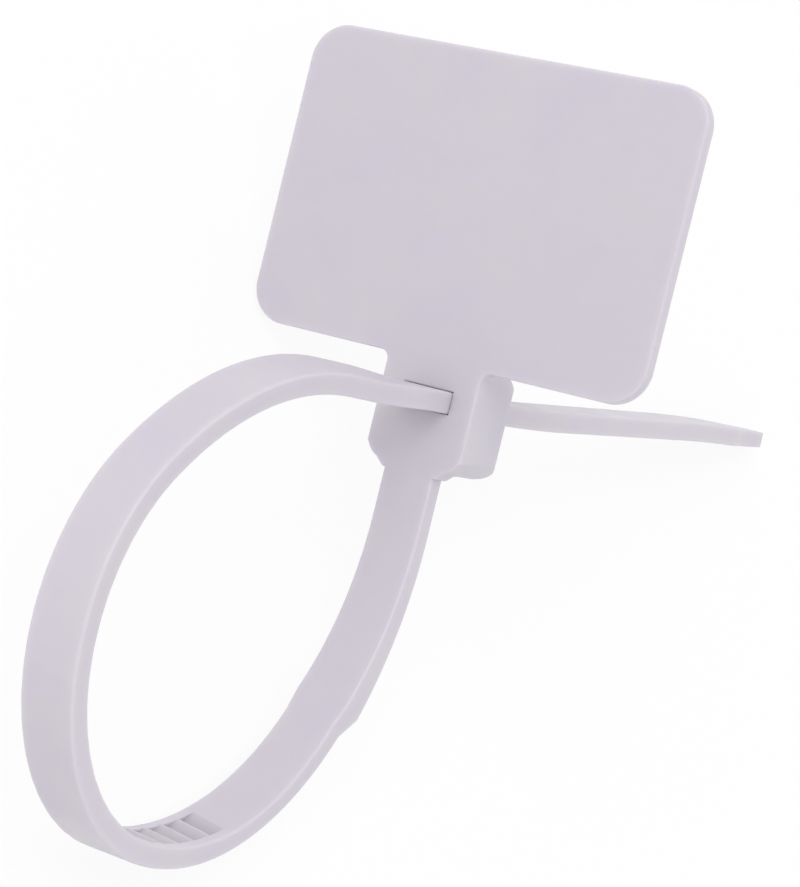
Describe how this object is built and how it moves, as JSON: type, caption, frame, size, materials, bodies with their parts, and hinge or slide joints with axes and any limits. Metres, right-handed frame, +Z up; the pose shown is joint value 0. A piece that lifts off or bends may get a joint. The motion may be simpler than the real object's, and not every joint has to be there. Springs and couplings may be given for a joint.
{
  "type": "marker cable tie",
  "caption": "One-piece nylon cable tie with a flat marker plate above its ratchet head, closed into a teardrop loop with the tapered tail drawn through the slot.",
  "frame": {"origin": "centre of the box's base, on the table that the tie lies on", "axes": "+Z up from the table, +Y along the head's slot from its entry to its exit as seen from above, so the loop is towards -Y and the tail towards +Y, and +X to the right of that"},
  "size_m": [0.053, 0.0874, 0.0326],
  "materials": {
    "nylon": "satin, as moulded"
  },
  "bodies": {
    "root": {"cable_tie": "nylon"}
  },
  "joints": []
}
